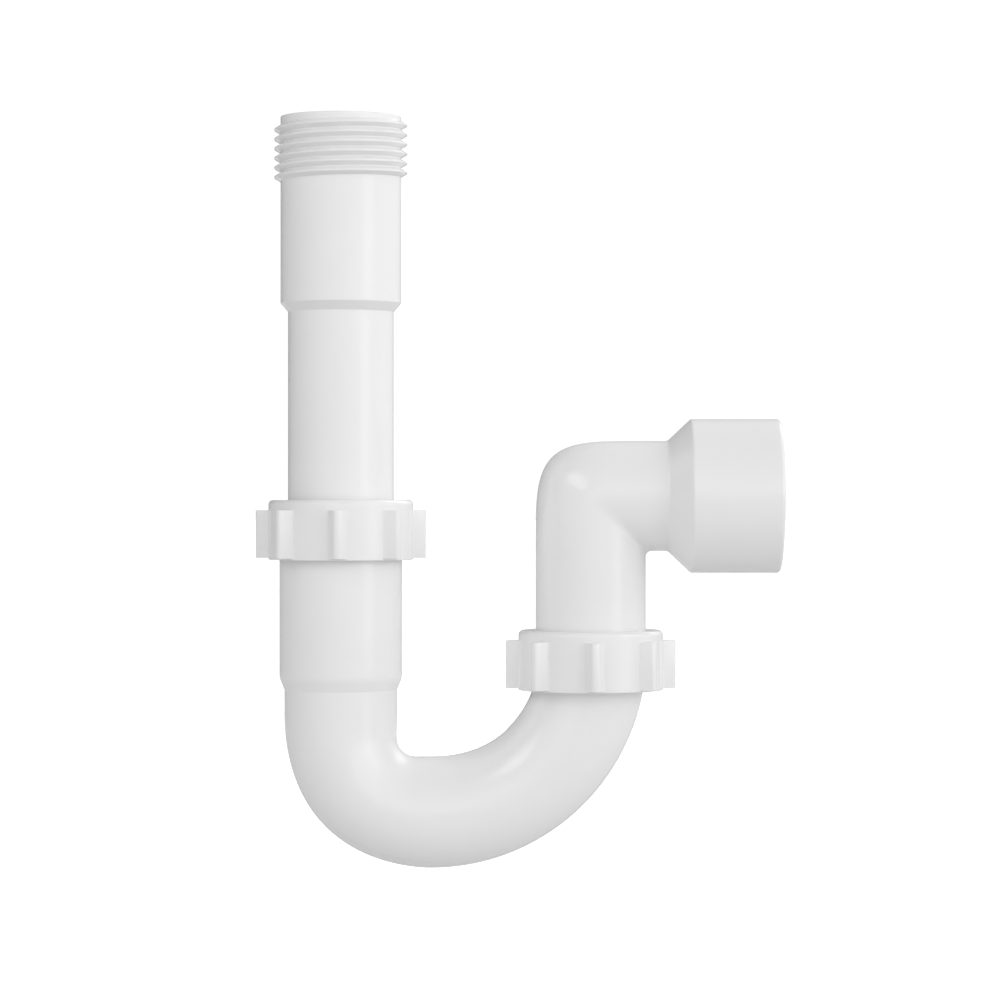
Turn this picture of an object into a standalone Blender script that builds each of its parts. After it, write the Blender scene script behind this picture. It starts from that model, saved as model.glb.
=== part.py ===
"""P trap with a telescopic threaded inlet and a swivelling outlet elbow.

Metres, +Z up. The origin is the centre of the inlet's rim, and +X points towards the outlet.
Nine pieces: the inlet tube, the trap body, the outlet elbow, and at each of the two unions
a nut, a slip ring and a cone seal.
"""

from math import cos, pi, radians, sin, sqrt

import bmesh
import bpy
from mathutils import Vector

MM = 0.001

# Threads: one start, right-handed, the same pitch everywhere.
PITCH = 3.0 * MM
CREST_RADIUS = 20.96 * MM       # male crests, as on a G 1 1/4 thread
INLET_RIDGE = (2.8125 * MM, 0.375 * MM)     # width at the root, width at the crest
MALE_RIDGE = (1.875 * MM, 0.375 * MM)
FEMALE_RIDGE = (2.1 * MM, 0.6 * MM)
THREAD_CLEARANCE = 0.3 * MM     # radial, between a crest and the root that faces it
RUNOUT = 0.06                   # turns over which a ridge rises from the wall

# Inlet tube, from its rim down.
NECK_RADIUS = 19.0 * MM
NECK_BORE = 16.9 * MM
NECK_EDGE = 0.35 * MM
INLET_THREAD_TOP = -0.5 * MM
INLET_TURNS = 6
NECK_BOTTOM = -58.7 * MM
NECK_CONE_BOTTOM = -61.5 * MM
TUBE_RADIUS = 16.65 * MM
TUBE_BORE = 14.75 * MM
TUBE_BOTTOM = -155.0 * MM

# Union nuts: both are the same moulding, measured down from the top of the nut.
INLET_NUT_TOP = -120.75 * MM
OUTLET_NUT_TOP = -161.75 * MM
NUT_RADIUS = 22.78 * MM
NUT_HEIGHT = 18.8 * MM
NUT_EDGE = 0.8 * MM
NUT_FLANGE = 2.2 * MM
NUT_FLANGE_BORE = 17.8 * MM
RIB_COUNT = 8
RIB_RADIUS = 26.85 * MM
RIB_ROOT_WIDTH = 5.6 * MM
RIB_TIP_WIDTH = 1.84 * MM
RIB_TOP = -3.2 * MM
RIB_BOTTOM = -18.25 * MM
OUTLET_RIB_TURN = radians(1.7)  # the outlet nut's ribs, from facing straight along the axes
NUT_COLUMNS = 5 * RIB_COUNT

# Sealing parts, in the room between the nut's flange and the rim of the mouth.
STACK_GAP = 0.3 * MM
SLIP_RING_THICKNESS = 0.8 * MM
SEAL_HEAD = 2.2 * MM
SEAL_RADIUS = 19.2 * MM
SEAL_LIP_RADIUS = 18.2 * MM
SEAL_LIP_DEPTH = 3.2 * MM
SEAL_LIP_THICKNESS = 0.35 * MM
SLIP_RING_CLEARANCE = 0.35 * MM
RIM_DEPTH = NUT_FLANGE + SLIP_RING_THICKNESS + SEAL_HEAD + 3 * STACK_GAP

# Trap body: a socket leg, the U bend and the outlet mouth.
LEG_RADIUS = 19.32 * MM
LEG_BORE = 17.2 * MM
MOUTH_BORE = 17.7 * MM          # takes the elbow's plain end
MOUTH_RIM_BORE = 18.6 * MM
MOUTH_CONE_DEPTH = 3.6 * MM
MOUTH_CONE_CLEARANCE = 0.7 * MM
MOUTH_TAPER = 1.0 * MM          # from the seal's cone to the bore
MOUTH_THREAD_DROP = 0.4 * MM
MOUTH_TURNS = 3
LEG_STEP = (-176.6 * MM, -180.5 * MM)
BORE_STEP = (-173.5 * MM, -178.5 * MM)
BEND_RADIUS = 17.75 * MM
WALL = 2.05 * MM
OUTLET_X = 78.8 * MM            # from the inlet's axis to the outlet leg's axis
U_BOTTOM = -236.65 * MM         # lowest line of the outer wall
U_DIP = -201.6 * MM             # lowest line of the inner wall
LEFT_SWEEP = 46.35 * MM         # outer circle of the bend's left half
LEFT_FULLNESS = 0.9 * MM        # how far the outer wall swells past that circle
LEFT_FILLET = 5.7 * MM          # inner circle of the bend's left half
RIGHT_SWEEP = 67.8 * MM         # outer circle of the bend's right half
RIGHT_DRAFT = 1.15 * MM         # how much the right half narrows as it rises
DRAFT_SWING = radians(45)       # angle over which it narrows
ROUND_SWING = radians(67)       # angle up to which the right half turns about one centre
LEVEL_PLANE = -181.0 * MM       # where the bend comes out level, under the outlet mouth
SOCKET_FLOOR = -178.4 * MM

# Outlet elbow.
ELBOW_RADIUS = 17.35 * MM
ELBOW_WALL = 2.0 * MM
ELBOW_END = -177.8 * MM
OUTLET_Z = -119.5 * MM
ELBOW_FILLET = 1.9 * MM
ELBOW_SQUARENESS = 4.6          # exponent of the outer corner's curve: higher is squarer
CREASE_SQUARENESS = 16          # the same for the crease beside the inner fillet
SOCKET_CONE = (102.95 * MM, 110.25 * MM)
SOCKET_RADIUS = 24.25 * MM
SOCKET_BORE = 21.6 * MM         # takes a 43 mm waste pipe
SOCKET_BACK = 112.6 * MM
SOCKET_STOP = 1.0 * MM          # land round the bore, at the socket's back
SOCKET_END = 138.45 * MM
SOCKET_EDGE = 0.6 * MM

COLUMNS = 32
LEFT_STATIONS = 8
RIGHT_STATIONS = 8
ELBOW_STATIONS = 8
SHARP_ANGLE = radians(32)

# Colour and roughness.
WHITE_POLYPROPYLENE = ((0.86, 0.86, 0.86), 0.30)
BLUE_POLYETHYLENE = ((0.62, 0.70, 0.76), 0.45)
BLACK_RUBBER = ((0.03, 0.03, 0.032), 0.60)

ALONG_X = Vector((1, 0, 0))
ALONG_Y = Vector((0, 1, 0))
ALONG_Z = Vector((0, 0, 1))

# Derived places of the U bend: its halves meet on the plane x = BEND_X.
BEND_X = LEFT_SWEEP - BEND_RADIUS
LEFT_CENTRE = Vector((BEND_X, 0, U_BOTTOM + LEFT_SWEEP))
LEFT_PIVOT = Vector((BEND_RADIUS + LEFT_FILLET, 0, U_DIP + LEFT_FILLET))
RIGHT_CENTRE = Vector((BEND_X, 0, U_BOTTOM + RIGHT_SWEEP))


class Skin:
    """The closed skin of one moulding, made ring by ring with one vertex per column."""

    def __init__(self, columns=COLUMNS):
        self.columns = columns
        self.mesh = bmesh.new()
        self.first = None
        self.last = None

    def face(self, corners):
        kept = [corner for index, corner in enumerate(corners) if corner is not corners[index - 1]]
        if len(kept) > 2:
            self.mesh.faces.new(kept)

    def bridge(self, here, there):
        for column in range(self.columns):
            beside = (column + 1) % self.columns
            self.face([here[column], there[column], there[beside], here[beside]])

    def ring(self, points):
        """Join the next ring to the last one, sharing each vertex that has not moved."""
        ring = []
        for column, point in enumerate(points):
            before = self.last[column] if self.last else None
            shared = before is not None and (before.co - point).length < 1e-7
            ring.append(before if shared else self.mesh.verts.new(point))
        if self.last:
            self.bridge(self.last, ring)
        else:
            self.first = ring
        self.last = ring

    def thread(self, axis, travel, turns, ridge, height, lead):
        """A helical ridge on the wall that runs on from the last ring along the axis.

        Every column is cut at whole steps of pitch / columns, so each turn meets itself.
        lead is +1 if the ridge moves on along the travel with each column, and -1 if back.
        """
        columns = self.columns
        step = PITCH / columns
        root, crest = [round(width / step) for width in ridge]
        flank = (root - crest) // 2
        profile = [(0, 0), (flank, height), (flank + crest, height), (root, 0)]
        start = self.last
        length = turns * columns + root
        end = [self.mesh.verts.new(vertex.co + travel * step * length) for vertex in start]
        placed = {}

        def vertex(column, turn, offset, rise):
            along = turn + lead * column / columns
            column %= columns
            if along <= 0:
                return start[column]
            if along >= turns:
                return end[column]
            level = round(along * columns) + offset
            if (column, level) not in placed:
                base = start[column].co
                outward = base - axis
                outward = (outward - travel * outward.dot(travel)).normalized()
                swell = min(1, along / RUNOUT, (turns - along) / RUNOUT)
                point = base + travel * step * level + outward * rise * swell
                placed[column, level] = self.mesh.verts.new(point)
            return placed[column, level]

        first_turn = 1 if lead < 0 else 0
        rows = [(first_turn + turn, offset, rise) for turn in range(turns) for offset, rise in profile]
        rows = [(-2, 0, 0)] + rows + [(turns + 2, 0, 0)]
        for here, there in zip(rows, rows[1:]):
            for column in range(columns):
                corners = [vertex(column, *here), vertex(column, *there)]
                corners += [vertex(column + 1, *there), vertex(column + 1, *here)]
                self.face(corners)
        self.last = end

    def finish(self, name, material, origin=(0, 0, 0)):
        """Close the skin and hand it over as an object."""
        self.bridge(self.last, self.first)
        mesh = bpy.data.meshes.new(name)
        self.mesh.to_mesh(mesh)
        self.mesh.free()
        mesh.shade_smooth()
        mesh.set_sharp_from_angle(angle=SHARP_ANGLE)
        mesh.materials.append(material)
        piece = bpy.data.objects.new(name, mesh)
        piece.location = origin
        bpy.context.scene.collection.objects.link(piece)
        return piece


def moulded(name, finish):
    """A moulded plastic or rubber with one colour and gloss."""
    colour, roughness = finish
    material = bpy.data.materials.new(name)
    material.use_nodes = True
    shader = material.node_tree.nodes["Principled BSDF"]
    shader.inputs["Base Color"].default_value = (*colour, 1)
    shader.inputs["Roughness"].default_value = roughness
    shader.inputs["Metallic"].default_value = 0
    return material


def ellipse(centre, across, half_length, half_depth, columns=COLUMNS):
    """Points of a section, from the back of the piece round through the across direction."""
    points = []
    for column in range(columns):
        angle = pi / 2 + 2 * pi * column / columns
        points.append(centre + across * half_length * cos(angle) + ALONG_Y * half_depth * sin(angle))
    return points


def circle(radius, z, x=0, across=ALONG_X):
    """A level ring round a vertical axis."""
    return ellipse(Vector((x, 0, z)), across, radius, radius)


def turned(skin, outline):
    """Rings for a turned piece: the outline runs down the outside and up the bore."""
    for radius, z in outline:
        skin.ring(circle(radius, z))


def smoothstep(low, high, value):
    share = min(1, max(0, (value - low) / (high - low)))
    return share * share * (3 - 2 * share)


def reach(origin, direction, centre, radius):
    """How far a ray from inside a circle travels before it meets the circle."""
    offset = origin - centre
    middle = offset.dot(direction)
    return sqrt(middle ** 2 - offset.length_squared + radius ** 2) - middle


def section(pivot, direction, near, far, half_depth):
    """A bend's section along a ray from the pivot, between its near and far walls."""
    centre = pivot + direction * (near + far) / 2
    return ellipse(centre, -direction, (far - near) / 2, half_depth)


def left_bend(inset):
    """Sections of the bend's left half: a tight inner fillet inside a wide outer sweep."""
    sections = []
    for index in range(LEFT_STATIONS + 1):
        swing = pi / 2 * index / LEFT_STATIONS
        direction = Vector((-cos(swing), 0, -sin(swing)))
        near = LEFT_FILLET + inset
        far = reach(LEFT_PIVOT, direction, LEFT_CENTRE, LEFT_SWEEP - inset)
        far += LEFT_FULLNESS * sin(2 * swing) ** 2
        sections.append(section(LEFT_PIVOT, direction, near, far, BEND_RADIUS - inset))
    return sections


def right_bend(inset):
    """Sections of the bend's right half: about one centre at first, then until they turn level."""
    drop = RIGHT_CENTRE.z - LEVEL_PLANE
    level_pivot = RIGHT_CENTRE + Vector((sin(ROUND_SWING), 0, -cos(ROUND_SWING))) * drop / cos(ROUND_SWING)
    rays = [(RIGHT_CENTRE, ROUND_SWING * index / RIGHT_STATIONS) for index in range(RIGHT_STATIONS + 1)]
    rays += [(level_pivot, (ROUND_SWING + pi / 2) / 2), (level_pivot, pi / 2)]
    sections = []
    for pivot, swing in rays:
        direction = Vector((sin(swing), 0, -cos(swing)))
        draft = RIGHT_DRAFT * smoothstep(0, DRAFT_SWING, swing)
        near = reach(pivot, direction, RIGHT_CENTRE, RIGHT_CENTRE.z - U_DIP + inset + draft)
        far = reach(pivot, direction, RIGHT_CENTRE, RIGHT_SWEEP - inset)
        sections.append(section(pivot, direction, near, far, BEND_RADIUS - inset - draft / 2))
    return sections


def squareness(across):
    """Exponent of the elbow's corner at one column: -1 lies on the inner side, +1 on the outer.

    The inner fillet is round. The crease beside it is nearly sharp and fades out halfway.
    """
    crease = 2 + (CREASE_SQUARENESS - 2) * smoothstep(-1, -0.82, across)
    return crease + (ELBOW_SQUARENESS - crease) * smoothstep(-0.35, 0.45, across)


def elbow_bend(inset):
    """Sections of the elbow's mitred corner, on planes through the centre of its inner fillet."""
    pivot = Vector((ELBOW_RADIUS + ELBOW_FILLET, 0, -ELBOW_RADIUS - ELBOW_FILLET))
    radius = ELBOW_RADIUS - inset
    sections = []
    for index in range(ELBOW_STATIONS + 1):
        swing = pi / 2 * index / ELBOW_STATIONS
        direction = Vector((-cos(swing), 0, sin(swing)))
        points = []
        for column in range(COLUMNS):
            angle = pi / 2 + 2 * pi * column / COLUMNS
            power = squareness(cos(angle))
            squared = (cos(swing) ** power + sin(swing) ** power) ** (1 / power)
            distance = (ELBOW_FILLET + inset + radius * (1 + cos(angle))) / squared
            points.append(pivot + direction * distance + ALONG_Y * radius * sin(angle))
        sections.append(points)
    return sections


def mouth_outline(rim_z, seal_bore, bore):
    """Inside of a mouth, from its rim down to its bore: the seal's cone, then a short taper."""
    cone_bottom = rim_z - MOUTH_CONE_DEPTH
    return [(MOUTH_RIM_BORE, rim_z),
            (seal_bore + MOUTH_CONE_CLEARANCE, cone_bottom),
            (bore, cone_bottom - MOUTH_TAPER)]


def make_inlet_tube(material):
    """Threaded mouth, thick neck, cone and the thin tube that slides in the body."""
    skin = Skin()
    turned(skin, [(NECK_RADIUS - NECK_EDGE, 0), (NECK_RADIUS, -NECK_EDGE), (NECK_RADIUS, INLET_THREAD_TOP)])
    skin.thread(Vector(), -ALONG_Z, INLET_TURNS, INLET_RIDGE, CREST_RADIUS - NECK_RADIUS, -1)
    turned(skin, [(NECK_RADIUS, NECK_BOTTOM),
                  (TUBE_RADIUS, NECK_CONE_BOTTOM),
                  (TUBE_RADIUS, TUBE_BOTTOM),
                  (TUBE_BORE, TUBE_BOTTOM),
                  (TUBE_BORE, NECK_CONE_BOTTOM),
                  (NECK_BORE, NECK_BOTTOM),
                  (NECK_BORE, 0)])
    return skin.finish("inlet_tube", material)


def make_trap_body(material):
    """One moulding: the outside from the inlet mouth to the outlet mouth, then back along the bore."""
    inlet_rim = INLET_NUT_TOP - RIM_DEPTH
    outlet_rim = OUTLET_NUT_TOP - RIM_DEPTH
    thread_height = CREST_RADIUS - LEG_RADIUS
    thread_length = PITCH * MOUTH_TURNS + MALE_RIDGE[0]
    outlet_axis = Vector((OUTLET_X, 0, 0))
    skin = Skin()
    turned(skin, [(LEG_RADIUS, inlet_rim), (LEG_RADIUS, inlet_rim - MOUTH_THREAD_DROP)])
    skin.thread(Vector(), -ALONG_Z, MOUTH_TURNS, MALE_RIDGE, thread_height, -1)
    turned(skin, [(LEG_RADIUS, LEG_STEP[0]), (BEND_RADIUS, LEG_STEP[1]), (BEND_RADIUS, LEFT_CENTRE.z)])
    for points in left_bend(0) + right_bend(0):
        skin.ring(points)
    skin.ring(circle(LEG_RADIUS, outlet_rim - MOUTH_THREAD_DROP - thread_length, OUTLET_X, -ALONG_X))
    skin.thread(outlet_axis, ALONG_Z, MOUTH_TURNS, MALE_RIDGE, thread_height, -1)
    skin.ring(circle(LEG_RADIUS, outlet_rim, OUTLET_X, -ALONG_X))
    for radius, z in mouth_outline(outlet_rim, ELBOW_RADIUS + STACK_GAP, MOUTH_BORE):
        skin.ring(circle(radius, z, OUTLET_X, -ALONG_X))
    skin.ring(circle(MOUTH_BORE, SOCKET_FLOOR, OUTLET_X, -ALONG_X))
    for points in reversed(left_bend(WALL) + right_bend(WALL)):
        skin.ring(points)
    turned(skin, [(BEND_RADIUS - WALL, LEFT_CENTRE.z), (BEND_RADIUS - WALL, BORE_STEP[1])])
    turned(skin, [(LEG_BORE, BORE_STEP[0])])
    turned(skin, reversed(mouth_outline(inlet_rim, TUBE_RADIUS + STACK_GAP, LEG_BORE)))
    return skin.finish("trap_body", material)


def make_outlet_elbow(material):
    """Plain end, mitred corner, short leg, cone and socket, about the crossing of its two axes."""
    bore = ELBOW_RADIUS - ELBOW_WALL
    end = ELBOW_END - OUTLET_Z

    def upright(radius, z):
        return circle(radius, z, 0, -ALONG_X)

    def level(radius, x):
        return ellipse(Vector((x - OUTLET_X, 0, 0)), ALONG_Z, radius, radius)

    skin = Skin()
    skin.ring(upright(ELBOW_RADIUS, end))
    for points in elbow_bend(0):
        skin.ring(points)
    outside = [(ELBOW_RADIUS, SOCKET_CONE[0]),
               (SOCKET_RADIUS, SOCKET_CONE[1]),
               (SOCKET_RADIUS, SOCKET_END - SOCKET_EDGE),
               (SOCKET_RADIUS - SOCKET_EDGE, SOCKET_END)]
    inside = [(SOCKET_BORE, SOCKET_END),
              (SOCKET_BORE, SOCKET_BACK),
              (bore + SOCKET_STOP, SOCKET_BACK),
              (bore, SOCKET_CONE[0])]
    for radius, x in outside + inside:
        skin.ring(level(radius, x))
    for points in reversed(elbow_bend(ELBOW_WALL)):
        skin.ring(points)
    skin.ring(upright(bore, end))
    return skin.finish("outlet_elbow", material, (OUTLET_X, 0, OUTLET_Z))


def nut_ring(z, collar_radius, first_rib, rib_radius=None):
    """A ring round the outside of a nut: four columns for each rib and one between the ribs."""
    root_angle = (RIB_ROOT_WIDTH / 2) / NUT_RADIUS
    tip_angle = (RIB_TIP_WIDTH / 2) / RIB_RADIUS
    tip_radius = rib_radius or collar_radius
    corners = [(-root_angle, collar_radius), (-tip_angle, tip_radius), (tip_angle, tip_radius)]
    corners += [(root_angle, collar_radius), (pi / RIB_COUNT, collar_radius)]
    points = []
    for rib in range(RIB_COUNT):
        middle = first_rib + 2 * pi * rib / RIB_COUNT
        for offset, radius in corners:
            angle = middle + offset
            points.append(Vector((radius * cos(angle), radius * sin(angle), z)))
    return points


def nut_bore_ring(z, radius):
    """A ring of evenly spaced columns, turned so that they face those of ribs that start at +Y."""
    spacing = 2 * pi / NUT_COLUMNS
    angles = [pi / 2 + spacing * (column - 1.5) for column in range(NUT_COLUMNS)]
    return [Vector((radius * cos(angle), radius * sin(angle), z)) for angle in angles]


def nut_thread_bottom():
    """Height of the nut's thread, with its ridge midway between the turns of the mouth's ridge."""
    male_centre = -RIM_DEPTH - MOUTH_THREAD_DROP - MALE_RIDGE[0] / 2
    first_column_lag = PITCH * 1.5 / NUT_COLUMNS
    return male_centre + PITCH / 2 - first_column_lag - FEMALE_RIDGE[0] / 2 - MOUTH_TURNS * PITCH


def make_nut(name, material, origin, rib_turn):
    """A union nut: a ribbed collar with a flange at the top and a thread inside."""
    first_rib = pi / 2 + rib_turn
    root = CREST_RADIUS + THREAD_CLEARANCE
    tip = LEG_RADIUS + THREAD_CLEARANCE
    skin = Skin(NUT_COLUMNS)
    skin.ring(nut_ring(0, NUT_RADIUS - NUT_EDGE, first_rib))
    skin.ring(nut_ring(-NUT_EDGE, NUT_RADIUS, first_rib))
    skin.ring(nut_ring(RIB_TOP, NUT_RADIUS, first_rib))
    skin.ring(nut_ring(RIB_TOP, NUT_RADIUS, first_rib, RIB_RADIUS))
    skin.ring(nut_ring(RIB_BOTTOM, NUT_RADIUS, first_rib, RIB_RADIUS))
    skin.ring(nut_ring(RIB_BOTTOM, NUT_RADIUS, first_rib))
    skin.ring(nut_ring(-NUT_HEIGHT, NUT_RADIUS, first_rib))
    skin.ring(nut_bore_ring(-NUT_HEIGHT, root))
    skin.ring(nut_bore_ring(nut_thread_bottom(), root))
    skin.thread(Vector(), ALONG_Z, MOUTH_TURNS, FEMALE_RIDGE, tip - root, 1)
    skin.ring(nut_bore_ring(-NUT_FLANGE, root))
    skin.ring(nut_bore_ring(-NUT_FLANGE, NUT_FLANGE_BORE))
    skin.ring(nut_bore_ring(0, NUT_FLANGE_BORE))
    return skin.finish(name, material, origin)


def make_slip_ring(name, material, origin, tube_radius):
    """The thin hard washer that lets the nut turn without dragging the seal."""
    top = -NUT_FLANGE - STACK_GAP
    bottom = top - SLIP_RING_THICKNESS
    bore = tube_radius + SLIP_RING_CLEARANCE
    skin = Skin()
    turned(skin, [(SEAL_RADIUS, top), (SEAL_RADIUS, bottom), (bore, bottom), (bore, top)])
    return skin.finish(name, material, origin)


def make_seal(name, material, origin, tube_radius):
    """The cone seal: a flat head over the rim, and a lip that wedges into the mouth."""
    rim = -RIM_DEPTH
    head_bottom = rim + STACK_GAP
    head_top = head_bottom + SEAL_HEAD
    bore = tube_radius + STACK_GAP
    skin = Skin()
    turned(skin, [(SEAL_RADIUS, head_top),
                  (SEAL_RADIUS, head_bottom),
                  (SEAL_LIP_RADIUS, head_bottom),
                  (bore + SEAL_LIP_THICKNESS, rim - SEAL_LIP_DEPTH),
                  (bore, rim - SEAL_LIP_DEPTH),
                  (bore, head_top)])
    return skin.finish(name, material, origin)


def clear_scene():
    for item in list(bpy.data.objects):
        bpy.data.objects.remove(item, do_unlink=True)


def main():
    clear_scene()
    make_inlet_tube(moulded("inlet_tube_plastic", WHITE_POLYPROPYLENE))
    make_trap_body(moulded("trap_body_plastic", WHITE_POLYPROPYLENE))
    make_outlet_elbow(moulded("outlet_elbow_plastic", WHITE_POLYPROPYLENE))
    unions = [("inlet", Vector((0, 0, INLET_NUT_TOP)), TUBE_RADIUS, 0),
              ("outlet", Vector((OUTLET_X, 0, OUTLET_NUT_TOP)), ELBOW_RADIUS, OUTLET_RIB_TURN)]
    for side, origin, tube_radius, rib_turn in unions:
        nut_plastic = moulded(f"{side}_nut_plastic", WHITE_POLYPROPYLENE)
        make_nut(f"{side}_nut", nut_plastic, origin, rib_turn)
        slip_plastic = moulded(f"{side}_slip_ring_plastic", BLUE_POLYETHYLENE)
        make_slip_ring(f"{side}_slip_ring", slip_plastic, origin, tube_radius)
        seal_rubber = moulded(f"{side}_seal_rubber", BLACK_RUBBER)
        make_seal(f"{side}_seal", seal_rubber, origin, tube_radius)


main()
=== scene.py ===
"""Looks of the P trap: a fine moulded piece for each solid, studio light and the camera."""

from math import atan2, cos, pi, radians, sin, sqrt, tan

import bmesh
import bpy
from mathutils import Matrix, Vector


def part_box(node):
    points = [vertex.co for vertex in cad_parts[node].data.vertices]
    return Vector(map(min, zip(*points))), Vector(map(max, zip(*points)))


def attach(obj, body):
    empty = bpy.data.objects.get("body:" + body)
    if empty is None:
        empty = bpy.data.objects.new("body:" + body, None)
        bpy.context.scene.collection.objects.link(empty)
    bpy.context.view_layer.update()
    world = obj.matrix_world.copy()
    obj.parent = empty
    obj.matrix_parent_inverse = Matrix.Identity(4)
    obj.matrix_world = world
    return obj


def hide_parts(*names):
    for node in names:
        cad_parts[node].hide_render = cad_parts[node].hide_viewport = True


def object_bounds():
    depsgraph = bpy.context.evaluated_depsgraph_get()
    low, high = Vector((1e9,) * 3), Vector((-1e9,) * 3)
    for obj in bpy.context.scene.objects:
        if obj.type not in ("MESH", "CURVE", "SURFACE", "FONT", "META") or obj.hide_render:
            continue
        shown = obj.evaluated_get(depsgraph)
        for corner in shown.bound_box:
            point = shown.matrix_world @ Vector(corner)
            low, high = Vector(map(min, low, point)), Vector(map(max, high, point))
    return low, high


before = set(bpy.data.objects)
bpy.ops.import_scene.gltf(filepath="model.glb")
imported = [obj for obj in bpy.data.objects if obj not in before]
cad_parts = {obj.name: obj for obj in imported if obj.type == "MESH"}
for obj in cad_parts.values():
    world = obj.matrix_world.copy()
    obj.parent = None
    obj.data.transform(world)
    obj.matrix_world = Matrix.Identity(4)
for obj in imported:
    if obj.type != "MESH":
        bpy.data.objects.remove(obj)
CAD_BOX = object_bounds()

MM = 0.001
ALONG_X = Vector((1, 0, 0))
ALONG_Y = Vector((0, 1, 0))
ALONG_Z = Vector((0, 0, 1))

# Places read from the frame.
TUBE_LOW, TUBE_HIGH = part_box("inlet_tube")
BODY_LOW, BODY_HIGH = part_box("trap_body")
ELBOW_LOW, ELBOW_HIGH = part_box("outlet_elbow")
INLET_NUT_LOW, INLET_NUT_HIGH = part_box("inlet_nut")
OUTLET_NUT_LOW, OUTLET_NUT_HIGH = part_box("outlet_nut")
OUTLET_X = (OUTLET_NUT_LOW.x + OUTLET_NUT_HIGH.x) / 2
CREST_RADIUS = TUBE_HIGH.y
NUT_HEIGHT = INLET_NUT_HIGH.z - INLET_NUT_LOW.z
SOCKET_RADIUS = ELBOW_HIGH.y
OUTLET_Z = ELBOW_HIGH.z - SOCKET_RADIUS

# Threads.
PITCH = 3.0 * MM
RUNOUT = 0.07                   # turns over which a ridge rises from the wall
RIDGE_MARGIN = 0.15 * MM        # flat run on both sides of a ridge
THREAD_CLEARANCE = 0.3 * MM

# Inlet tube.
NECK_RADIUS = 19.0 * MM
NECK_BORE = 16.9 * MM
INLET_THREAD_DROP = 0.42 * MM
INLET_TURNS = 6
INLET_CREST = 0.45 * MM
NECK_BOTTOM = -58.7 * MM
NECK_CONE_BOTTOM = -61.5 * MM
TUBE_RADIUS = 16.65 * MM
TUBE_BORE = 14.75 * MM

# Unions, measured down from the top of the nut.
NUT_RADIUS = 22.78 * MM
NUT_TOP_FILLET = 1.8 * MM
NUT_FLANGE = 2.2 * MM
NUT_FLANGE_BORE = 17.8 * MM
RIB_COUNT = 8
RIB_RADIUS = 26.8 * MM
RIB_ROOT_WIDTH = 5.6 * MM
RIB_TIP_WIDTH = 1.84 * MM
RIB_TIP_FILLET = 1.0 * MM
RIB_ROOT_FILLET = 0.8 * MM
RIB_END_FILLET = 0.18 * MM
RIB_TOP = -3.2 * MM
RIB_BOTTOM = -18.25 * MM
OUTLET_RIB_TURN = radians(1.7)
FEMALE_RIDGE = 2.1 * MM
FEMALE_CREST = 0.6 * MM
STACK_GAP = 0.3 * MM
SLIP_RING_THICKNESS = 0.8 * MM
SEAL_HEAD = 2.2 * MM
SEAL_RADIUS = 19.2 * MM
SEAL_LIP = 3.2 * MM
RIM_DEPTH = NUT_FLANGE + SLIP_RING_THICKNESS + SEAL_HEAD + 3 * STACK_GAP

# Trap body.
LEG_RADIUS = 19.32 * MM
LEG_BORE = 17.2 * MM
MOUTH_BORE = 17.7 * MM
MOUTH_RIM_BORE = 18.6 * MM
MOUTH_THREAD_DROP = 0.4 * MM
MOUTH_TURNS = 3
MOUTH_RIDGE = 1.875 * MM
MOUTH_CREST = 0.375 * MM
LEG_STEP_TOP = -176.8 * MM      # the cone from the socket leg down to the thinner bend
LEG_STEP_BOTTOM = -180.5 * MM
LEG_FLOOR = -173.5 * MM         # the same cone inside
LEG_FLOOR_BOTTOM = -178.5 * MM
BEND_RADIUS = 17.75 * MM
WALL = 2.05 * MM
U_DIP = -201.6 * MM
LEFT_SWEEP = 46.35 * MM
LEFT_FULLNESS = 0.9 * MM
LEFT_FILLET = 5.7 * MM
RIGHT_SWEEP = 67.8 * MM
RIGHT_DRAFT = 1.15 * MM
DRAFT_SWING = radians(45)
ROUND_SWING = radians(67)
LEVEL_PLANE = -181.0 * MM
SOCKET_FLOOR = -178.4 * MM
U_BOTTOM = BODY_LOW.z
BEND_X = LEFT_SWEEP - BEND_RADIUS
LEFT_CENTRE = Vector((BEND_X, 0, U_BOTTOM + LEFT_SWEEP))
LEFT_PIVOT = Vector((BEND_RADIUS + LEFT_FILLET, 0, U_DIP + LEFT_FILLET))
RIGHT_CENTRE = Vector((BEND_X, 0, U_BOTTOM + RIGHT_SWEEP))

# Outlet elbow.
ELBOW_RADIUS = 17.35 * MM
ELBOW_WALL = 2.0 * MM
ELBOW_FILLET = 1.9 * MM
CONE_START = 102.95 * MM        # places along X
CONE_END = 110.25 * MM
SOCKET_STOP = 112.6 * MM
SOCKET_BORE = 21.6 * MM

COLUMNS = 144                   # facets round a turned piece


# ---- Mesh building -------------------------------------------------------------------------

def smoothstep(low, high, value):
    """0 up to low, 1 from high on, and a smooth rise between them."""
    share = min(1, max(0, (value - low) / (high - low)))
    return share * share * (3 - 2 * share)


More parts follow.
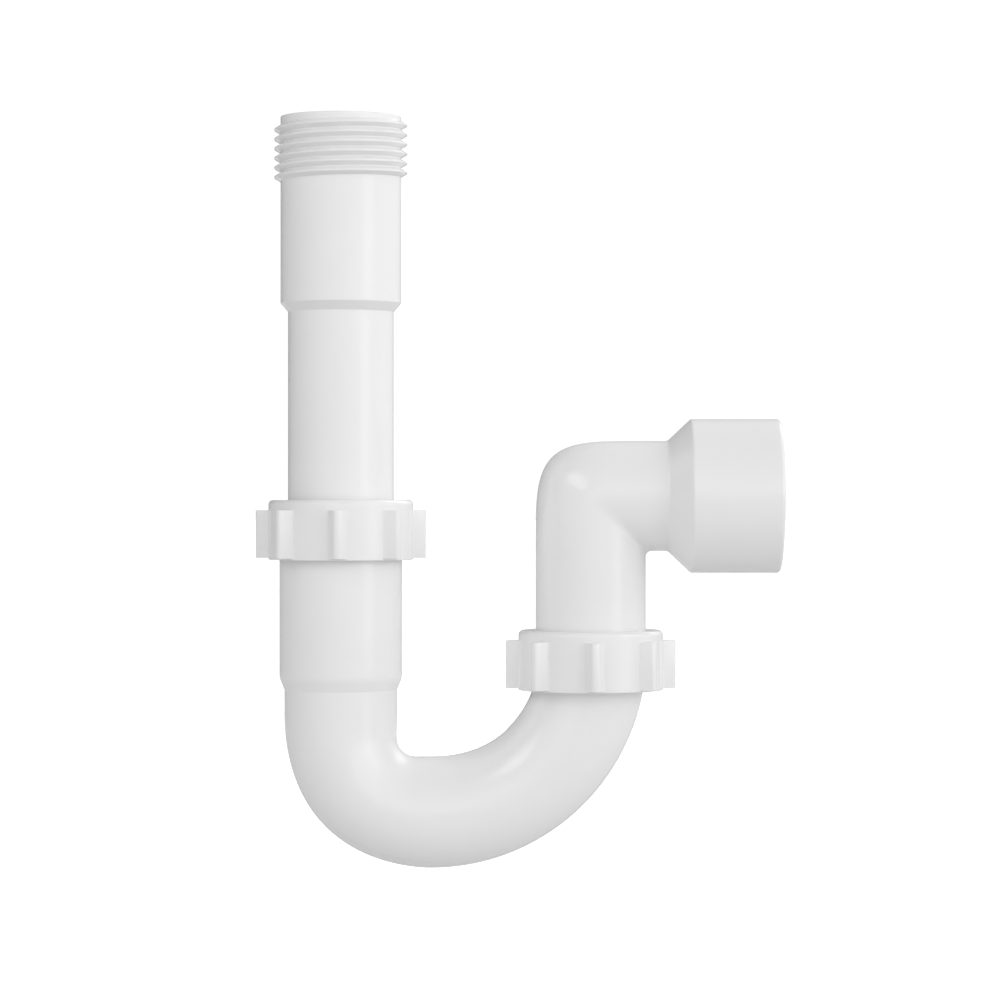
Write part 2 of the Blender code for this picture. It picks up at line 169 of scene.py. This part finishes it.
def rounded(corners, steps=6):
    """Outline through (x, y, fillet) corners. Each fillet is an arc with a guard point on both
    sides, so that smooth shading stays flat on the runs between the fillets."""
    points = []
    for index, (x, y, fillet) in enumerate(corners):
        corner = Vector((x, y))
        if not fillet:
            points.append(corner)
            continue
        back = Vector(corners[index - 1][:2]) - corner
        onward = Vector(corners[index + 1][:2]) - corner
        half = back.angle(onward) / 2
        setback = min(fillet / tan(half), back.length * 0.45, onward.length * 0.45)
        radius = setback * tan(half)
        middle = (back.normalized() + onward.normalized()).normalized()
        centre = corner + middle * radius / sin(half)
        start = corner + back.normalized() * setback - centre
        end = corner + onward.normalized() * setback - centre
        guard_back = min(setback, 0.2 * (back.length - setback))
        guard_onward = min(setback, 0.2 * (onward.length - setback))
        points.append(corner + back.normalized() * (setback + guard_back))
        points += [centre + start.slerp(end, step / steps) * radius for step in range(steps + 1)]
        points.append(corner + onward.normalized() * (setback + guard_onward))
    return points


class Skin:
    """The closed skin of one moulding, made ring by ring with one vertex per column."""

    def __init__(self, columns=COLUMNS):
        self.columns = columns
        self.mesh = bmesh.new()
        self.first = None
        self.last = None

    def face(self, corners):
        kept = [corner for index, corner in enumerate(corners) if corner is not corners[index - 1]]
        if len(kept) > 2:
            self.mesh.faces.new(kept)

    def bridge(self, here, there):
        for column in range(self.columns):
            beside = (column + 1) % self.columns
            self.face([here[column], there[column], there[beside], here[beside]])

    def ring(self, points):
        """Join the next ring to the last one, sharing each vertex that has not moved."""
        ring = []
        for column, point in enumerate(points):
            before = self.last[column] if self.last else None
            shared = before is not None and (before.co - point).length < 1e-7
            ring.append(before if shared else self.mesh.verts.new(point))
        if self.last:
            self.bridge(self.last, ring)
        else:
            self.first = ring
        self.last = ring

    def thread(self, axis, travel, turns, profile, lead):
        """A helical ridge that runs on from the last ring along the axis.

        profile lists (distance along the axis, rise from the wall) over one ridge. lead is +1 if
        the ridge moves on along the travel with each column, and -1 if back.
        """
        columns = self.columns
        step = PITCH / columns
        steps = [(round(distance / step), rise) for distance, rise in profile]
        start = self.last
        length = turns * columns + steps[-1][0]
        end = [self.mesh.verts.new(vertex.co + travel * step * length) for vertex in start]
        placed = {}

        def vertex(column, turn, offset, rise):
            along = turn + lead * column / columns
            level = round(along * columns) + offset
            column %= columns
            if level <= 0:
                return start[column]
            if level >= length:
                return end[column]
            if (column, level) not in placed:
                base = start[column].co
                outward = base - axis
                outward = (outward - travel * outward.dot(travel)).normalized()
                swell = smoothstep(0, RUNOUT, along) * smoothstep(0, RUNOUT, turns - along)
                point = base + travel * step * level + outward * rise * swell
                placed[column, level] = self.mesh.verts.new(point)
            return placed[column, level]

        rows = [(turn, offset, rise) for turn in range(-1, turns + 2) for offset, rise in steps]
        rows = [(-3, 0, 0)] + rows + [(turns + 3, 0, 0)]
        for here, there in zip(rows, rows[1:]):
            for column in range(columns):
                corners = [vertex(column, *here), vertex(column, *there)]
                corners += [vertex(column + 1, *there), vertex(column + 1, *here)]
                self.face(corners)
        self.last = end

    def finish(self, name, body, node, material, sharp=40):
        """Close the skin, and hand the piece over to the frame in place of its CAD node."""
        self.bridge(self.last, self.first)
        loose = [vertex for vertex in self.mesh.verts if not vertex.link_faces]
        bmesh.ops.delete(self.mesh, geom=loose, context="VERTS")
        mesh = bpy.data.meshes.new(name)
        self.mesh.to_mesh(mesh)
        self.mesh.free()
        mesh.shade_smooth()
        mesh.set_sharp_from_angle(angle=radians(sharp))
        mesh.materials.append(material)
        piece = bpy.data.objects.new(name, mesh)
        bpy.context.scene.collection.objects.link(piece)
        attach(piece, body)
        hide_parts(node)
        return piece


def ellipse(centre, across, half_length, half_depth, columns=COLUMNS):
    """Points of a section, from the back of the piece round through the across direction."""
    points = []
    for column in range(columns):
        angle = pi / 2 + 2 * pi * column / columns
        along = across * half_length * cos(angle)
        points.append(centre + along + ALONG_Y * half_depth * sin(angle))
    return points


def turned(skin, corners, axis_x=0, top=0, across=ALONG_X):
    """Rings about a vertical axis through an outline of (radius, height, fillet) corners."""
    for radius, height in rounded(corners):
        skin.ring(ellipse(Vector((axis_x, 0, top + height)), across, radius, radius, skin.columns))


def ridge(margin, root_width, crest_width, rise, fillet):
    """Profile of a thread's ridge between two flat margins, with its root and its crest rounded."""
    flank = (root_width - crest_width) / 2
    crest_end = margin + flank + crest_width
    corners = [(0, 0, 0), (margin, 0, fillet), (margin + flank, rise, fillet)]
    corners += [(crest_end, rise, fillet), (margin + root_width, 0, fillet)]
    corners += [(root_width + 2 * margin, 0, 0)]
    return [tuple(point) for point in rounded(corners, 3)]


# ---- Sections of the bends -----------------------------------------------------------------

def reach(origin, direction, centre, radius):
    """How far a ray from inside a circle travels before it meets the circle."""
    offset = origin - centre
    middle = offset.dot(direction)
    return sqrt(middle ** 2 - offset.length_squared + radius ** 2) - middle


def section(pivot, direction, near, far, half_depth):
    """The section that a plane through the pivot cuts, from near to far along the direction."""
    centre = pivot + direction * (near + far) / 2
    return ellipse(centre, -direction, (far - near) / 2, half_depth)


def left_bend(inset):
    """The bend's left half: level planes, a fan about the inner fillet's centre, upright planes."""
    rays = []
    for step in range(3):
        height = LEFT_CENTRE.z + (LEFT_PIVOT.z - LEFT_CENTRE.z) * step / 3
        rays.append((Vector((LEFT_PIVOT.x, 0, height)), 0))
    rays += [(LEFT_PIVOT, radians(degrees)) for degrees in range(0, 91, 3)]
    for step in range(1, 3):
        beyond = LEFT_PIVOT.x + (BEND_X - LEFT_PIVOT.x) * step / 3
        rays.append((Vector((beyond, 0, LEFT_PIVOT.z)), radians(90)))
    sections = []
    for pivot, swing in rays:
        direction = Vector((-cos(swing), 0, -sin(swing)))
        far = reach(pivot, direction, LEFT_CENTRE, LEFT_SWEEP - inset)
        far += LEFT_FULLNESS * sin(2 * swing) ** 2
        sections.append(section(pivot, direction, LEFT_FILLET + inset, far, BEND_RADIUS - inset))
    return sections


def right_bend(inset):
    """The bend's right half: about one centre at first, narrowing, until its planes turn level."""
    drop = RIGHT_CENTRE.z - LEVEL_PLANE
    outward = Vector((sin(ROUND_SWING), 0, -cos(ROUND_SWING)))
    level_pivot = RIGHT_CENTRE + outward * drop / cos(ROUND_SWING)
    rest = pi / 2 - ROUND_SWING
    rays = [(RIGHT_CENTRE, ROUND_SWING * index / 30) for index in range(31)]
    rays += [(level_pivot, ROUND_SWING + rest * index / 8) for index in range(1, 9)]
    sections = []
    for pivot, swing in rays:
        direction = Vector((sin(swing), 0, -cos(swing)))
        draft = RIGHT_DRAFT * smoothstep(0, DRAFT_SWING, swing)
        near = reach(pivot, direction, RIGHT_CENTRE, RIGHT_CENTRE.z - U_DIP + inset + draft)
        far = reach(pivot, direction, RIGHT_CENTRE, RIGHT_SWEEP - inset)
        sections.append(section(pivot, direction, near, far, BEND_RADIUS - inset - draft / 2))
    return sections


def mitre_power(across):
    """Squareness of the elbow's corner: round at the inner fillet, a sharp crease beside it that
    fades out before the middle, and a soft square at the outer corner."""
    crease = 2 + 14 * smoothstep(-1.0, -0.82, across)
    return crease + (4.6 - crease) * smoothstep(-0.35, 0.45, across)


def elbow_bend(inset):
    """Sections of the elbow's mitred corner, on planes through the inner fillet's centre."""
    corner = Vector((OUTLET_X, 0, OUTLET_Z))
    pivot = corner + Vector((ELBOW_RADIUS + ELBOW_FILLET, 0, -ELBOW_RADIUS - ELBOW_FILLET))
    radius = ELBOW_RADIUS - inset
    sections = []
    for index in range(61):
        swing = radians(90) * index / 60
        direction = Vector((-cos(swing), 0, sin(swing)))
        points = []
        for column in range(COLUMNS):
            angle = pi / 2 + 2 * pi * column / COLUMNS
            across = cos(angle)
            power = mitre_power(across)
            bulge = (cos(swing) ** power + sin(swing) ** power) ** (1 / power)
            distance = (ELBOW_FILLET + inset + radius * (1 + across)) / bulge
            points.append(pivot + direction * distance + ALONG_Y * radius * sin(angle))
        sections.append(points)
    return sections


# ---- Materials -----------------------------------------------------------------------------

def add(nodes, kind, **settings):
    """A new node with its properties and input values set."""
    node = nodes.new(kind)
    for key, value in settings.items():
        if hasattr(node, key):
            setattr(node, key, value)
        else:
            node.inputs[key.replace("_", " ")].default_value = value
    return node


def moulded(name, shade, roughness, grain, grain_depth, parting=True):
    """Moulded plastic or rubber: cloudy tint, uneven gloss, fine grain, faint parting line."""
    material = bpy.data.materials.new(name)
    material.use_nodes = True
    nodes, links = material.node_tree.nodes, material.node_tree.links
    shader = nodes["Principled BSDF"]
    place = nodes.new("ShaderNodeTexCoord")

    cloud = add(nodes, "ShaderNodeTexNoise", Scale=38.0, Detail=3.0, Roughness=0.55)
    links.new(place.outputs["Object"], cloud.inputs["Vector"])
    tint = nodes.new("ShaderNodeValToRGB")
    tint.color_ramp.interpolation = "EASE"
    tint.color_ramp.elements[0].position = 0.25
    tint.color_ramp.elements[1].position = 0.75
    tint.color_ramp.elements[0].color = (*[value * 0.985 for value in shade], 1)
    tint.color_ramp.elements[1].color = (*shade, 1)
    links.new(cloud.outputs["Fac"], tint.inputs["Fac"])
    links.new(tint.outputs["Color"], shader.inputs["Base Color"])

    smear = add(nodes, "ShaderNodeTexNoise", Scale=70.0, Detail=2.0, Roughness=0.5)
    links.new(place.outputs["Object"], smear.inputs["Vector"])
    gloss = nodes.new("ShaderNodeMapRange")
    gloss.inputs["From Min"].default_value = 0.2
    gloss.inputs["From Max"].default_value = 0.8
    gloss.inputs["To Min"].default_value = roughness - 0.03
    gloss.inputs["To Max"].default_value = roughness + 0.03
    links.new(smear.outputs["Fac"], gloss.inputs["Value"])
    links.new(gloss.outputs["Result"], shader.inputs["Roughness"])

    skin = add(nodes, "ShaderNodeTexNoise", Scale=grain, Detail=2.0, Roughness=0.5)
    links.new(place.outputs["Object"], skin.inputs["Vector"])
    bump = nodes.new("ShaderNodeBump")
    bump.inputs["Strength"].default_value = 0.3
    bump.inputs["Distance"].default_value = grain_depth
    links.new(skin.outputs["Fac"], bump.inputs["Height"])
    normal = bump
    if parting:
        normal = parting_line(nodes, links, place, bump)
    links.new(normal.outputs["Normal"], shader.inputs["Normal"])
    return material


def parting_line(nodes, links, place, bump):
    """A hair line round the middle plane, where the two halves of the mould met."""
    split = nodes.new("ShaderNodeSeparateXYZ")
    links.new(place.outputs["Object"], split.inputs["Vector"])
    away = nodes.new("ShaderNodeMath")
    away.operation = "ABSOLUTE"
    links.new(split.outputs["Y"], away.inputs[0])
    line = nodes.new("ShaderNodeMapRange")
    line.interpolation_type = "SMOOTHSTEP"
    line.inputs["From Min"].default_value = 0.05 * MM
    line.inputs["From Max"].default_value = 0.22 * MM
    line.inputs["To Min"].default_value = 1.0
    line.inputs["To Max"].default_value = 0.0
    links.new(away.outputs["Value"], line.inputs["Value"])
    raised = nodes.new("ShaderNodeBump")
    raised.inputs["Strength"].default_value = 0.5
    raised.inputs["Distance"].default_value = 0.04 * MM
    links.new(line.outputs["Result"], raised.inputs["Height"])
    links.new(bump.outputs["Normal"], raised.inputs["Normal"])
    return raised


# ---- Pieces --------------------------------------------------------------------------------

def make_inlet_tube(material):
    """Threaded mouth, thick neck, cone and the thin sliding tube."""
    bore_middle = (NECK_BOTTOM + TUBE_LOW.z) / 2
    thread_top = -INLET_THREAD_DROP
    root_width = PITCH - 2 * RIDGE_MARGIN
    profile = ridge(RIDGE_MARGIN, root_width, INLET_CREST, CREST_RADIUS - NECK_RADIUS, 0.16 * MM)
    skin = Skin()
    turned(skin, [(TUBE_BORE, bore_middle, 0),
                  (TUBE_BORE, NECK_CONE_BOTTOM, 1.0 * MM),
                  (NECK_BORE, NECK_BOTTOM, 1.0 * MM),
                  (NECK_BORE, 0, 0.35 * MM),
                  (NECK_RADIUS, 0, 0.35 * MM),
                  (NECK_RADIUS, thread_top, 0)])
    skin.thread(Vector(), -ALONG_Z, INLET_TURNS, profile, -1)
    thread_bottom = skin.last[0].co.z
    turned(skin, [(NECK_RADIUS, thread_bottom, 0),
                  (NECK_RADIUS, NECK_BOTTOM, 0.35 * MM),
                  (TUBE_RADIUS, NECK_CONE_BOTTOM, 0.4 * MM),
                  (TUBE_RADIUS, TUBE_LOW.z, 0.5 * MM),
                  (TUBE_BORE, TUBE_LOW.z, 0.4 * MM),
                  (TUBE_BORE, bore_middle - 10 * MM, 0)])
    return skin.finish("inlet_tube_moulding", "inlet_tube", "inlet_tube", material)


def mouth_corners(rim, seal_bore, bore, floor):
    """Inside of a mouth, from the rim down: the seal's cone, a short taper and the bore."""
    return [(MOUTH_RIM_BORE, rim, 0.2 * MM),
            (seal_bore + 0.7 * MM, rim - 3.6 * MM, 0.5 * MM),
            (bore, rim - 4.6 * MM, 0.5 * MM),
            (bore, floor, 0)]


def make_trap_body(material):
    """Socket leg, U bend and outlet mouth in one skin: along the outside, back through the bore."""
    inlet_rim = INLET_NUT_HIGH.z - RIM_DEPTH
    outlet_rim = OUTLET_NUT_HIGH.z - RIM_DEPTH
    profile = ridge(RIDGE_MARGIN, MOUTH_RIDGE, MOUTH_CREST, CREST_RADIUS - LEG_RADIUS, 0.12 * MM)
    thread_drop = MOUTH_THREAD_DROP - RIDGE_MARGIN
    straight_end = LEFT_CENTRE.z + 2 * MM
    outlet_axis = Vector((OUTLET_X, 0, 0))
    mouth = {"axis_x": OUTLET_X, "across": -ALONG_X}
    skin = Skin()
    turned(skin, [(LEG_RADIUS - 0.2 * MM, inlet_rim, 0),
                  (LEG_RADIUS, inlet_rim - 0.2 * MM, 0),
                  (LEG_RADIUS, inlet_rim - thread_drop, 0)])
    skin.thread(Vector(), -ALONG_Z, MOUTH_TURNS, profile, -1)
    thread_length = inlet_rim - thread_drop - skin.last[0].co.z
    turned(skin, [(LEG_RADIUS, skin.last[0].co.z, 0),
                  (LEG_RADIUS, LEG_STEP_TOP, 5.0 * MM),
                  (BEND_RADIUS, LEG_STEP_BOTTOM, 1.2 * MM),
                  (BEND_RADIUS, straight_end, 0)])
    for points in left_bend(0) + right_bend(0):
        skin.ring(points)
    thread_start = outlet_rim - thread_drop - thread_length
    turned(skin, [(LEG_RADIUS, thread_start, 0)], **mouth)
    skin.thread(outlet_axis, ALONG_Z, MOUTH_TURNS, profile, -1)
    turned(skin, [(LEG_RADIUS, outlet_rim - 0.2 * MM, 0),
                  (LEG_RADIUS - 0.2 * MM, outlet_rim, 0)], **mouth)
    inside = mouth_corners(outlet_rim, ELBOW_RADIUS + STACK_GAP, MOUTH_BORE, SOCKET_FLOOR)
    turned(skin, [(MOUTH_RIM_BORE + 0.1 * MM, outlet_rim, 0)] + inside[1:], **mouth)
    for points in reversed(left_bend(WALL) + right_bend(WALL)):
        skin.ring(points)
    inside = mouth_corners(inlet_rim, TUBE_RADIUS + STACK_GAP, LEG_BORE, LEG_FLOOR)
    turned(skin, [(BEND_RADIUS - WALL, straight_end, 0),
                  (BEND_RADIUS - WALL, LEG_FLOOR_BOTTOM, 2.0 * MM),
                  (LEG_BORE, LEG_FLOOR, 2.0 * MM)]
           + list(reversed(inside))[1:-1] + [(MOUTH_RIM_BORE + 0.1 * MM, inlet_rim, 0)])
    return skin.finish("trap_body_moulding", "trap_body", "trap_body", material)


def make_outlet_elbow(material):
    """Plain end, mitred corner, short leg, cone and waste-pipe socket."""
    bore = ELBOW_RADIUS - ELBOW_WALL
    end = ELBOW_LOW.z
    skin = Skin()

    def upright(corners):
        turned(skin, corners, axis_x=OUTLET_X, across=-ALONG_X)

    def level(corners):
        for radius, x in rounded(corners):
            skin.ring(ellipse(Vector((x, 0, OUTLET_Z)), ALONG_Z, radius, radius))

    leg_start = OUTLET_X + ELBOW_RADIUS + ELBOW_FILLET + 0.5 * MM
    upright([(bore, end + 10 * MM, 0),
             (bore, end, 0.4 * MM),
             (ELBOW_RADIUS, end, 0.6 * MM),
             (ELBOW_RADIUS, end + 12 * MM, 0)])
    for points in elbow_bend(0):
        skin.ring(points)
    level([(ELBOW_RADIUS, leg_start, 0),
           (ELBOW_RADIUS, CONE_START, 1.6 * MM),
           (SOCKET_RADIUS, CONE_END, 1.2 * MM),
           (SOCKET_RADIUS, ELBOW_HIGH.x, 1.1 * MM),
           (SOCKET_BORE, ELBOW_HIGH.x, 0.5 * MM),
           (SOCKET_BORE, SOCKET_STOP, 0.6 * MM),
           (bore + 1.0 * MM, SOCKET_STOP, 0.5 * MM),
           (bore, CONE_START, 2.0 * MM),
           (bore, leg_start, 0)])
    for points in reversed(elbow_bend(ELBOW_WALL)):
        skin.ring(points)
    name = "outlet_elbow"
    return skin.finish(f"{name}_moulding", name, name, material)


def rib_sector(inset):
    """One eighth of the nut's outline, with a rib in its middle, as (angle, radius) pairs."""
    root = RIB_ROOT_WIDTH / 2
    tip = RIB_TIP_WIDTH / 2 - inset
    top = RIB_RADIUS - inset

    def on_collar(angle):
        return (NUT_RADIUS * sin(angle), NUT_RADIUS * cos(angle), 0)

    root_height = sqrt(NUT_RADIUS ** 2 - root ** 2)
    edge = pi / RIB_COUNT
    shares = [1.0, 0.86, 0.72, 0.58]
    left = [on_collar(-edge * share) for share in shares]
    right = [on_collar(edge * share) for share in reversed(shares[1:])]
    corners = left + [(-root, root_height, RIB_ROOT_FILLET), (-tip, top, RIB_TIP_FILLET)]
    corners += [(tip, top, RIB_TIP_FILLET), (root, root_height, RIB_ROOT_FILLET)] + right
    return [(atan2(x, y), Vector((x, y)).length) for x, y in rounded(corners, 5)]


def nut_outline(rib_turn, height, collar_radius=NUT_RADIUS, inset=None):
    """A ring round the outside of the nut: with its ribs if an inset is given, or plain."""
    full = rib_sector(0)
    ribbed = rib_sector(inset or 0)
    points = []
    for rib in range(RIB_COUNT):
        middle = pi / 2 + rib_turn + 2 * pi * rib / RIB_COUNT
        for (plain_angle, _), (angle, radius) in zip(full, ribbed):
            if inset is None:
                angle, radius = plain_angle, collar_radius
            turn = middle + angle
            points.append(Vector((radius * cos(turn), radius * sin(turn), height)))
    return points


def make_nut(side, node_top, axis_x, rib_turn, material):
    """Union nut: ribbed collar with a rounded top edge, flange, and the thread inside."""
    sector = len(rib_sector(0))
    columns = sector * RIB_COUNT
    start_angle = pi / 2 - pi / RIB_COUNT
    origin = Vector((axis_x, 0, node_top))
    root = CREST_RADIUS + THREAD_CLEARANCE
    tip = LEG_RADIUS + THREAD_CLEARANCE
    profile = ridge(RIDGE_MARGIN, FEMALE_RIDGE, FEMALE_CREST, tip - root, 0.12 * MM)
    male_centre = -RIM_DEPTH - MOUTH_THREAD_DROP - MOUTH_RIDGE / 2
    lag = PITCH / (2 * RIB_COUNT)
    female_centre = male_centre + PITCH / 2 - lag
    thread_bottom = female_centre - FEMALE_RIDGE / 2 - RIDGE_MARGIN - MOUTH_TURNS * PITCH
    skin = Skin(columns)

    def outside(height, *shape):
        skin.ring([origin + point for point in nut_outline(rib_turn, height, *shape)])

    def inside(corners):
        for radius, height in rounded(corners, 4):
            ring = []
            for column in range(columns):
                angle = start_angle + 2 * pi * column / columns
                ring.append(origin + Vector((radius * cos(angle), radius * sin(angle), height)))
            skin.ring(ring)

    edge = [(NUT_FLANGE_BORE + 1.5 * MM, 0, 0),
            (NUT_RADIUS, 0, NUT_TOP_FILLET),
            (NUT_RADIUS, RIB_TOP, 0)]
    for radius, height in rounded(edge, 9):
        outside(height, radius)
    ends = [(RIB_TOP, -RIB_END_FILLET, (0, 1, 2, 3, 4)),
            (RIB_BOTTOM, RIB_END_FILLET, (4, 3, 2, 1, 0))]
    for level, depth, steps in ends:
        for step in steps:
            swing = radians(90) * step / 4
            inset = RIB_END_FILLET * (1 - sin(swing))
            outside(level + depth * (1 - cos(swing)), NUT_RADIUS, inset)
    foot = [(NUT_RADIUS, RIB_BOTTOM, 0),
            (NUT_RADIUS, -NUT_HEIGHT, 0.25 * MM),
            (root + 0.6 * MM, -NUT_HEIGHT, 0)]
    for radius, height in rounded(foot, 4):
        outside(height, radius)
    inside([(root + 0.5 * MM, -NUT_HEIGHT, 0),
            (root, -NUT_HEIGHT + 0.5 * MM, 0),
            (root, thread_bottom, 0)])
    skin.thread(origin, ALONG_Z, MOUTH_TURNS, profile, 1)
    inside([(root, -NUT_FLANGE - 0.5 * MM, 0),
            (root, -NUT_FLANGE, 0.3 * MM),
            (NUT_FLANGE_BORE, -NUT_FLANGE, 0.2 * MM),
            (NUT_FLANGE_BORE, 0, 0.4 * MM),
            (NUT_FLANGE_BORE + 1.4 * MM, 0, 0)])
    name = f"{side}_nut"
    return skin.finish(f"{name}_moulding", name, name, material, 45)


def make_slip_ring(side, top, axis_x, tube_radius, material):
    """The thin hard washer under the nut's flange."""
    high = -NUT_FLANGE - STACK_GAP
    low = high - SLIP_RING_THICKNESS
    bore = tube_radius + 0.35 * MM
    middle = (bore + SEAL_RADIUS) / 2
    skin = Skin()
    turned(skin, [(middle, high, 0),
                  (SEAL_RADIUS, high, 0.2 * MM),
                  (SEAL_RADIUS, low, 0.2 * MM),
                  (bore, low, 0.2 * MM),
                  (bore, high, 0.2 * MM),
                  (middle - 0.3 * MM, high, 0)], axis_x, top)
    name = f"{side}_slip_ring"
    return skin.finish(f"{name}_washer", name, name, material)


def make_seal(side, body, top, axis_x, tube_radius, material):
    """The cone seal: its flat head over the rim, its lip in the mouth."""
    rim = -RIM_DEPTH
    low = rim + STACK_GAP
    high = low + SEAL_HEAD
    bore = tube_radius + STACK_GAP
    lip = rim - SEAL_LIP
    middle = (bore + SEAL_RADIUS) / 2
    skin = Skin()
    turned(skin, [(middle, high, 0),
                  (SEAL_RADIUS, high, 0.5 * MM),
                  (SEAL_RADIUS, low, 0.3 * MM),
                  (18.2 * MM, low, 0.1 * MM),
                  (bore + 0.35 * MM, lip, 0.1 * MM),
                  (bore, lip, 0.1 * MM),
                  (bore, high, 0.4 * MM),
                  (middle - 0.3 * MM, high, 0)], axis_x, top)
    return skin.finish(f"{side}_cone_seal", body, f"{side}_seal", material)


# ---- Studio --------------------------------------------------------------------------------

AIM = Vector((50.2 * MM, 0, INLET_NUT_HIGH.z))
DISTANCE = 1104 * MM
FLOOR_Z = CAD_BOX[0].z - 65 * MM
FLOOR_GLOW = 0.7                # seen by the camera only, as the background is
BACKGROUND = 1.05
EVEN_LIGHT = 0.221
GLOW_WIDTH = 4                  # exponent of a glow: higher is narrower
# The azimuth, elevation and strength of each glow.
GLOWS = [(0, 0, 0.63), (-45, 0, 0.80), (45, 0, 1.21), (90, 0, 0.73), (135, 40, 1.17)]

BOX_DISTANCE = 1.6
# The azimuth, elevation, width, height and radiance of each softbox.
BOXES = {
    "key_box": (-46, 37, 0.9, 0.6, 1.28),
    "right_box": (55, 5, 0.6, 1.5, 0.94),
    "back_fill": (180, 12, 1.4, 1.0, 1.6),
    "front_glint": (-43, 37, 0.42, 0.42, 1.2),
    "back_glint": (138, 37, 0.8, 0.8, 1.0),
}
WITHOUT_GLOSS = ["back_fill"]   # lights the back without a bright rim in front
ONLY_GLOSS = ["front_glint", "back_glint"]


def make_floor():
    """A wide pale floor. It glows a little, so that it stays as pale as the background."""
    bpy.ops.mesh.primitive_plane_add(size=60, location=(0, 0, FLOOR_Z))
    floor = bpy.context.object
    floor.name = "studio_floor"
    material = bpy.data.materials.new("studio_floor_paper")
    material.use_nodes = True
    nodes, links = material.node_tree.nodes, material.node_tree.links
    shader = nodes["Principled BSDF"]
    shader.inputs["Base Color"].default_value = (0.7, 0.7, 0.7, 1)
    shader.inputs["Roughness"].default_value = 0.9
    shader.inputs["Specular IOR Level"].default_value = 0.1
    shader.inputs["Emission Color"].default_value = (1, 1, 1, 1)
    path = nodes.new("ShaderNodeLightPath")
    glow = nodes.new("ShaderNodeMath")
    glow.operation = "MULTIPLY"
    glow.inputs[1].default_value = FLOOR_GLOW
    links.new(path.outputs["Is Camera Ray"], glow.inputs[0])
    links.new(glow.outputs["Value"], shader.inputs["Emission Strength"])
    floor.data.materials.append(material)


def direction(azimuth, elevation):
    """Unit vector. Azimuth 0 is the camera's side of the object, and 90 its right-hand side."""
    turn, rise = radians(azimuth), radians(elevation)
    return Vector((sin(turn) * cos(rise), -cos(turn) * cos(rise), sin(rise)))


def make_world():
    """White to the eye. Its light is an even level and one wide, soft glow from each direction."""
    world = bpy.data.worlds.new("studio")
    bpy.context.scene.world = world
    world.use_nodes = True
    nodes, links = world.node_tree.nodes, world.node_tree.links
    background = nodes["Background"]
    background.inputs["Color"].default_value = (1, 1, 1, 1)
    place = nodes.new("ShaderNodeTexCoord")
    total = None
    for azimuth, elevation, strength in GLOWS:
        facing = nodes.new("ShaderNodeVectorMath")
        facing.operation = "DOT_PRODUCT"
        facing.inputs[1].default_value = direction(azimuth, elevation)
        links.new(place.outputs["Generated"], facing.inputs[0])
        near_side = nodes.new("ShaderNodeMath")
        near_side.operation = "MAXIMUM"
        near_side.inputs[1].default_value = 0
        links.new(facing.outputs["Value"], near_side.inputs[0])
        lobe = nodes.new("ShaderNodeMath")
        lobe.operation = "POWER"
        lobe.inputs[1].default_value = GLOW_WIDTH
        links.new(near_side.outputs["Value"], lobe.inputs[0])
        summed = nodes.new("ShaderNodeMath")
        summed.operation = "MULTIPLY_ADD"
        summed.inputs[1].default_value = strength
        summed.inputs[2].default_value = EVEN_LIGHT
        links.new(lobe.outputs["Value"], summed.inputs[0])
        if total:
            links.new(total.outputs["Value"], summed.inputs[2])
        total = summed
    path = nodes.new("ShaderNodeLightPath")
    seen = nodes.new("ShaderNodeMix")
    seen.data_type = "FLOAT"
    links.new(path.outputs["Is Camera Ray"], seen.inputs["Factor"])
    links.new(total.outputs["Value"], seen.inputs["A"])
    seen.inputs["B"].default_value = BACKGROUND
    links.new(seen.outputs["Result"], background.inputs["Strength"])


def softbox(name, azimuth, elevation, width, height, radiance):
    """An area light that faces the object."""
    data = bpy.data.lights.new(name, "AREA")
    data.shape = "RECTANGLE"
    data.size = width
    data.size_y = height
    data.energy = radiance * pi * width * height
    light = bpy.data.objects.new(name, data)
    bpy.context.scene.collection.objects.link(light)
    towards = direction(azimuth, elevation)
    light.location = AIM + towards * BOX_DISTANCE
    light.rotation_euler = towards.to_track_quat("Z", "Y").to_euler()
    return light


def make_camera():
    data = bpy.data.cameras.new("camera")
    data.sensor_width = 36
    data.lens = 126
    camera = bpy.data.objects.new("camera", data)
    bpy.context.scene.collection.objects.link(camera)
    camera.location = AIM - ALONG_Y * DISTANCE
    camera.rotation_euler = (pi / 2, 0, 0)
    bpy.context.scene.camera = camera


def main():
    white = moulded("white_moulding", (0.92, 0.92, 0.92), 0.16, 240.0, 0.04 * MM)
    nut_white = moulded("nut_moulding", (0.92, 0.92, 0.92), 0.18, 240.0, 0.04 * MM, parting=False)
    washer = moulded("slip_ring_washer", (0.62, 0.70, 0.76), 0.42, 900.0, 0.03 * MM, parting=False)
    rubber = moulded("seal_rubber", (0.03, 0.03, 0.032), 0.58, 2200.0, 0.05 * MM, parting=False)
    make_inlet_tube(white)
    make_trap_body(white)
    make_outlet_elbow(white)
    unions = [("inlet", "inlet_seal", INLET_NUT_HIGH.z, 0, TUBE_RADIUS, 0),
              ("outlet", "outlet_elbow", OUTLET_NUT_HIGH.z, OUTLET_X, ELBOW_RADIUS,
               OUTLET_RIB_TURN)]
    for side, seal_body, top, axis_x, tube_radius, rib_turn in unions:
        make_nut(side, top, axis_x, rib_turn, nut_white)
        make_slip_ring(side, top, axis_x, tube_radius, washer)
        make_seal(side, seal_body, top, axis_x, tube_radius, rubber)
    make_floor()
    make_world()
    for name, box in BOXES.items():
        light = softbox(name, *box)
        light.visible_glossy = name not in WITHOUT_GLOSS
        light.visible_diffuse = name not in ONLY_GLOSS
    make_camera()
    bpy.context.scene.view_settings.view_transform = "Standard"


main()
